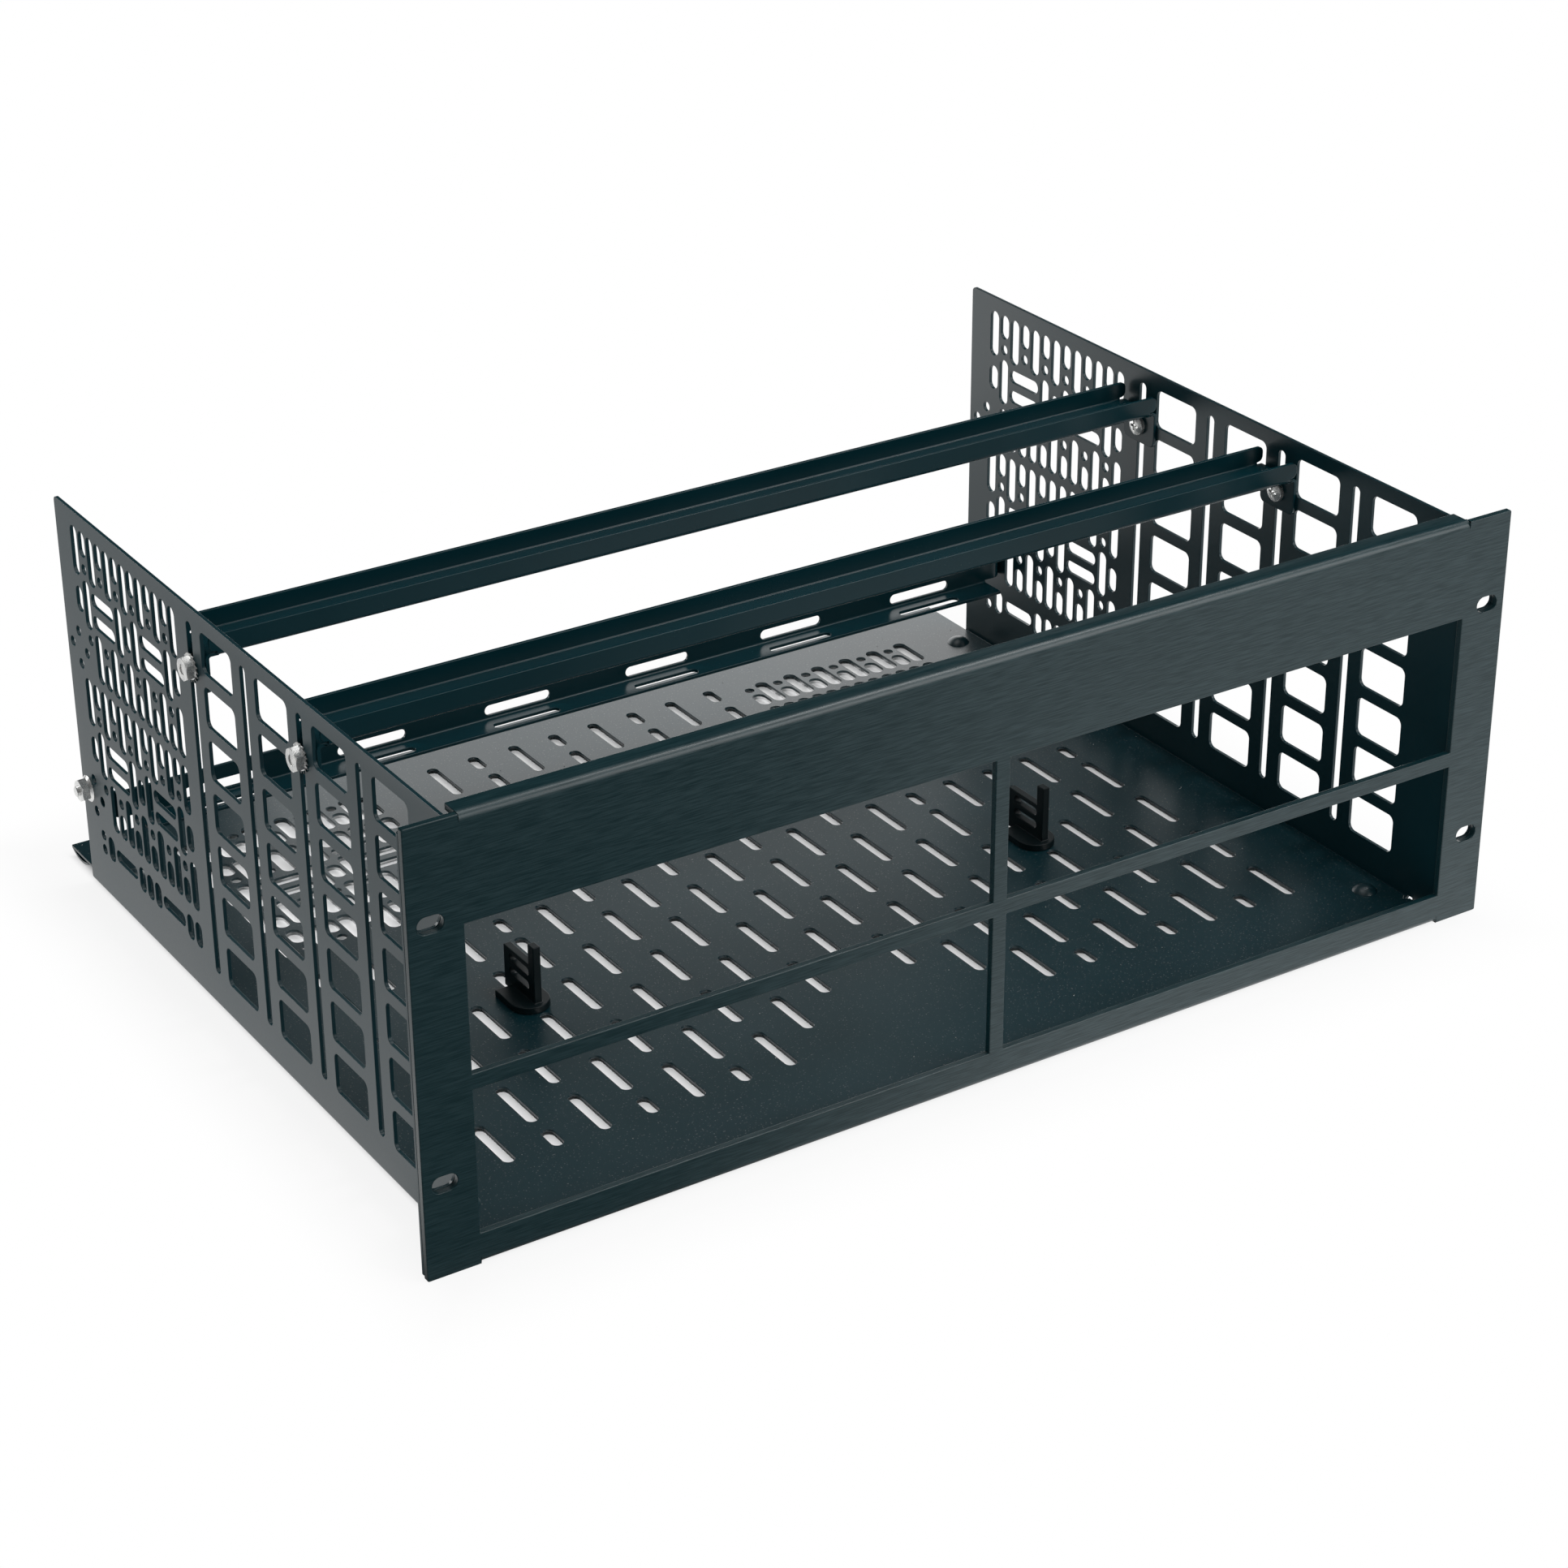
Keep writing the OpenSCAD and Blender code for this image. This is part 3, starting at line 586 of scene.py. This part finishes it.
def dust(wire, sheet, given):
    """Specks and short fibres on the top of a sheet."""
    speck = wire.node("GeometryNodeMeshIcoSphere", {}, {"Radius": 1.0, "Subdivisions": 1})
    specks = scattered(
        wire, sheet, speck, given["Dust Density"], given["Dust Seed"],
        given["Dust Small"], given["Dust Large"])
    half = given["Lint Length"] * 0.5
    radius = given["Lint Radius"]
    path = wire.node(
        "GeometryNodeCurveQuadraticBezier", {},
        {"Resolution": LINT_STEPS, "Start": vector(wire, half * -1.0, 0.0, radius),
         "Middle": vector(wire, half * LINT_BEND_ALONG, half * LINT_BEND_ASIDE, radius * LINT_BEND_RISE),
         "End": vector(wire, half, half * LINT_END_ASIDE, radius)})
    section = wire.node(
        "GeometryNodeCurvePrimitiveCircle", {}, {"Resolution": LINT_CORNERS, "Radius": radius})
    fibre = swept(wire, path, section)
    fibres = scattered(
        wire, sheet, fibre, given["Lint Density"], given["Lint Seed"], LINT_SHORTEST, LINT_LONGEST)
    return joined(wire, specks, fibres)


def places_mesh(name, places):
    """A mesh that is only points."""
    mesh = bpy.data.meshes.new(name)
    mesh.from_pydata(places, [], [])
    return mesh


def tooth_washers(node, finish):
    """The two tooth washers under a tie bar's nuts."""
    low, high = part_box(node)
    middle = (low + high) / 2
    reach = high.x - TOOTH_RING_THICKNESS / 2
    places = [(side * reach, middle.y, middle.z) for side in (-1, 1)]
    sizes = {
        "Teeth": TEETH, "Ring Inner": TOOTH_RING_INNER, "Ring Outer": TOOTH_RING_OUTER, "Tip": TOOTH_TIP,
        "Tooth Width": TOOTH_WIDTH, "Tooth Sheet": TOOTH_SHEET, "Thickness": TOOTH_RING_THICKNESS,
        "Twist": TOOTH_TWIST}
    washers = grown_piece(node + "_toothed", places_mesh(node, places), tooth_washer, sizes, finish)
    stand_for(washers, node)


def bolt_threads(node, finish):
    """The thread that shows past the lacing bar's nuts."""
    low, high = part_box(node)
    middle = (low + high) / 2
    start = high.x - (THREAD_TURNS + THREAD_END_TURNS) * THREAD_PITCH
    places = [(side * start, middle.y, middle.z) for side in (-1, 1)]
    sizes = {"Turns": THREAD_TURNS, "Radius": BOLT_RADIUS, "Pitch": THREAD_PITCH, "Depth": THREAD_DEPTH}
    threads = grown_piece(node + "_thread", places_mesh(node, places), thread, sizes, finish)
    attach(threads, "root")


def tray_dust(tray, finish):
    """A little dust and lint on the tray."""
    sizes = {
        "Dust Density": DUST_PER_SQUARE_METRE, "Dust Seed": DUST_SEED, "Dust Small": DUST_SMALL,
        "Dust Large": DUST_LARGE, "Lint Density": LINT_PER_SQUARE_METRE, "Lint Seed": LINT_SEED,
        "Lint Length": LINT_LENGTH, "Lint Radius": LINT_RADIUS}
    specks = grown_piece("tray_dust", tray.data.copy(), dust, sizes, finish)
    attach(specks, "root")


def dress_shelf():
    """Every CAD node gets its finish, on an eased copy or on a piece grown in its place. Returns the tray."""
    brushed = brushed_black()
    panel = painted_black("panel_paint", roughness=0.36, peel=0.15, specular=0.45)
    sheet = painted_black("tray_paint", roughness=0.32, peel=0.22, specular=0.60, grit=0.6)
    bar = painted_black("bar_paint", roughness=0.25, peel=0.06, specular=0.28)
    rivet = painted_black("rivet_paint", roughness=0.34, peel=0.08, specular=0.8)
    plastic = moulded_black()
    zinc = bright_zinc()
    eased_copy("faceplate", PLATE_EDGE, brushed)
    tray = eased_copy("tray", PUNCHED_EDGE, sheet)
    tray_dust(tray, pale_dust())
    for node in ("left_side_panel", "right_side_panel"):
        eased_copy(node, PUNCHED_EDGE, panel)
    for node in ("front_tie_bar", "rear_tie_bar", "lacing_bar"):
        eased_copy(node, BAR_EDGE, bar)
    for node in ("left_stop_clip", "right_stop_clip"):
        eased_copy(node, PLASTIC_EDGE, plastic)
    for node in ("tray_rivets", "faceplate_rivets"):
        eased_copy(node, FASTENER_EDGE, rivet, clamp=True)
    for node in (
            "front_bar_screws", "rear_bar_screws", "lacing_bar_bolts", "lacing_bar_washers",
            "front_bar_nuts", "rear_bar_nuts", "lacing_bar_nuts"):
        eased_copy(node, FASTENER_EDGE, zinc, clamp=True)
    for node in ("front_bar_washers", "rear_bar_washers"):
        tooth_washers(node, zinc)
    bolt_threads("lacing_bar_bolts", zinc)
    return tray


def staged_sheet(name, corners, material):
    """A flat four-sided sheet of the stage, which is no part of the shelf."""
    mesh = bpy.data.meshes.new(name)
    mesh.from_pydata(corners, [], [(0, 1, 2, 3)])
    mesh.materials.append(material)
    sheet = new_piece(name, mesh)
    return sheet


def level_corners(half_width, front, rear, height):
    """The corners of a level sheet."""
    return [
        (-half_width, front, height), (half_width, front, height),
        (half_width, rear, height), (-half_width, rear, height)]


def ray(wire, kind):
    """1 for one kind of ray and 0 for the others."""
    return wire.node("ShaderNodeLightPath", {}, {}, kind)


def shine(wire, level):
    """White light of a level that may change over a surface."""
    return wire.node("ShaderNodeEmission", {}, {"Color": level, "Strength": 1.0})


def footprint_gap(wire, x, y):
    """How far a place on the floor lies outside the shelf's footprint, below 0 inside it."""
    beside = wire.math("ABSOLUTE", x, 0.0) - FOOTPRINT_HALF_WIDTH
    along = wire.math("ABSOLUTE", y - FOOTPRINT_MIDDLE, 0.0) - FOOTPRINT_HALF_DEPTH
    return wire.math("MAXIMUM", beside, along)


def floor_in_gloss(wire, x, y):
    """How bright the floor shows in gloss, ahead of the faceplate and to the left of the shelf."""
    ahead = ramp(wire, y, *GLOSS_AHEAD_REACH)
    fade = 1.0 - ramp(wire, y, *GLOSS_FADE_REACH) * GLOSS_FADE_SHARE
    lit = spread(ramp(wire, x + y * GLOSS_SLANT, *GLOSS_SLANT_REACH) * fade, low=GLOSS_LEAST, high=1.0)
    rear = 1.0 - ramp(wire, y, *GLOSS_REAR_REACH) * GLOSS_REAR_SHARE
    left = ramp(wire, x, *GLOSS_LEFT_REACH) * rear * (1.0 - ahead)
    return 1.0 - ahead * (1.0 - lit) - left * GLOSS_LEFT_SHARE


def pale_floor():
    """A wide pale floor under the shelf, which shows white to the camera and keeps a soft shadow."""
    material, wire, shader = new_finish(
        "pale_floor", Base_Color=FLOOR_COLOUR, Roughness=FLOOR_ROUGHNESS, Specular_IOR_Level=0.0)
    camera = ray(wire, "Is Camera Ray")
    mirrored = wire.math("MAXIMUM", ray(wire, "Is Glossy Ray"), ray(wire, "Is Transmission Ray"))
    seen = wire.math("MAXIMUM", camera, mirrored)
    place = own_place(wire)
    x = part_of(wire, place, "X")
    y = part_of(wire, place, "Y")
    away = footprint_gap(wire, x, y)
    edge = ramp(wire, away, *WHITE_EDGE_REACH) * WHITE_EDGE_ADDS
    white = edge + ramp(wire, away, *WHITE_OUTSIDE_REACH) * WHITE_OUTSIDE_ADDS + WHITE_UNDER
    clear = 1.0 - ramp(wire, away, *GLOSS_UNDER_REACH) * GLOSS_UNDER_SHARE
    share = wire.math("MAXIMUM", camera * white, (seen - camera) * clear)
    glow = shine(wire, wire.math("MAXIMUM", floor_in_gloss(wire, x, y), camera))
    lit = Wire(wire.tree, shader.outputs[0])
    mixed = wire.node("ShaderNodeMixShader", {}, {0: share, 1: lit, 2: glow})
    wire.feed(wire.tree.nodes["Material Output"].inputs["Surface"], mixed)
    staged_sheet("floor", level_corners(FLOOR_HALF, -FLOOR_HALF, FLOOR_HALF, floor_level), material)


def slot_floor():
    """The floor right under the tray, which the slots show."""
    material, _, _ = new_finish(
        "slot_floor", Base_Color=FLOOR_COLOUR, Roughness=FLOOR_ROUGHNESS, Specular_IOR_Level=0.0)
    corners = level_corners(PATCH_HALF_WIDTH, PATCH_FRONT, PATCH_REAR, floor_level + PATCH_LIFT)
    return staged_sheet("slot_floor", corners, material)


def back_card():
    """A low lit card close behind the shelf, brightest at its foot, which only shows as gloss."""
    material, wire, _ = new_finish("back_card")
    place = own_place(wire)
    height = part_of(wire, place, "Z")
    across = part_of(wire, place, "X")
    foot = 1.0 - ramp(wire, height, *CARD_FOOT_REACH)
    haze = (1.0 - ramp(wire, height, *CARD_HAZE_REACH)) * ramp(wire, across, *CARD_HAZE_ACROSS)
    glow = shine(wire, foot * CARD_FOOT_GLOW + haze * CARD_HAZE_GLOW)
    wire.feed(wire.tree.nodes["Material Output"].inputs["Surface"], glow)
    corners = [
        (CARD_LEFT, CARD_PLACE, floor_level), (CARD_RIGHT, CARD_PLACE, floor_level),
        (CARD_RIGHT, CARD_PLACE, CARD_TOP), (CARD_LEFT, CARD_PLACE, CARD_TOP)]
    card = staged_sheet("back_card", corners, material)
    card.visible_camera = False
    card.visible_diffuse = False
    card.visible_shadow = False


def soft_light(name):
    """A square soft box that looks at a point, unseen by the camera."""
    place, aim, size, watts = SOFT_BOXES[name]
    lamp = bpy.data.lights.new(name, "AREA")
    lamp.shape = "SQUARE"
    lamp.size = size
    lamp.energy = watts
    box = bpy.data.objects.new(name, lamp)
    turn = (Vector(aim) - Vector(place)).to_track_quat("-Z", "Y")
    box.matrix_world = Matrix.LocRotScale(Vector(place), turn, None)
    box.visible_camera = False
    bpy.context.scene.collection.objects.link(box)
    return box


def group(name, members):
    """A collection of objects, for a lamp's links."""
    made = bpy.data.collections.new(name)
    for member in members:
        made.objects.link(member)
    return made


def light_dome():
    """A white world, which gloss sees dark and the camera sees white."""
    world = bpy.data.worlds.new("studio")
    bpy.context.scene.world = world
    world.use_nodes = True
    wire = Wire(world.node_tree)
    glossy = ray(wire, "Is Glossy Ray") * (DOME_LEVEL - DOME_IN_GLOSS)
    camera = ray(wire, "Is Camera Ray") * (DOME_SEEN - DOME_LEVEL)
    dome = world.node_tree.nodes["Background"]
    wire.feed(dome.inputs["Color"], WHITE)
    wire.feed(dome.inputs["Strength"], DOME_LEVEL - glossy + camera)


def studio_light(patch, tray, glinting):
    """Soft boxes for the whole shelf, one for the patch of floor in the tray's slots, and one for glints."""
    for name in ("top_box", "spark_box", "key_box"):
        soft_light(name)
    fill = soft_light("slot_fill")
    fill.light_linking.receiver_collection = group("slot_fill_lights", [patch])
    fill.light_linking.blocker_collection = group("slot_fill_shadows", [tray])
    glint = soft_light("glint_box")
    glint.light_linking.receiver_collection = group("glint_lights", glinting)


def photo_camera():
    """The camera at the photograph's place."""
    lens = bpy.data.cameras.new("camera")
    lens.sensor_width = SENSOR
    lens.lens = FOCAL_PIXELS / PHOTO_PIXELS * SENSOR
    camera = bpy.data.objects.new("camera", lens)
    place = Vector(CAMERA_PLACE)
    ahead = (Vector(CAMERA_AIM) - place).normalized()
    right = ahead.cross(Vector((0, 0, 1))).normalized()
    up = right.cross(ahead)
    turned_right = math.cos(CAMERA_ROLL) * right + math.sin(CAMERA_ROLL) * up
    turned_up = math.cos(CAMERA_ROLL) * up - math.sin(CAMERA_ROLL) * right
    pose = Matrix((turned_right, turned_up, -ahead)).transposed().to_4x4()
    pose.translation = place
    camera.matrix_world = pose
    bpy.context.scene.collection.objects.link(camera)
    bpy.context.scene.camera = camera


shown_tray = dress_shelf()
pale_floor()
back_card()
light_dome()
glinting_pieces = [piece for piece in bpy.data.objects if piece.name.startswith(GLINTING)]
studio_light(slot_floor(), shown_tray, glinting_pieces)
photo_camera()
bpy.context.scene.view_settings.view_transform = "Standard"
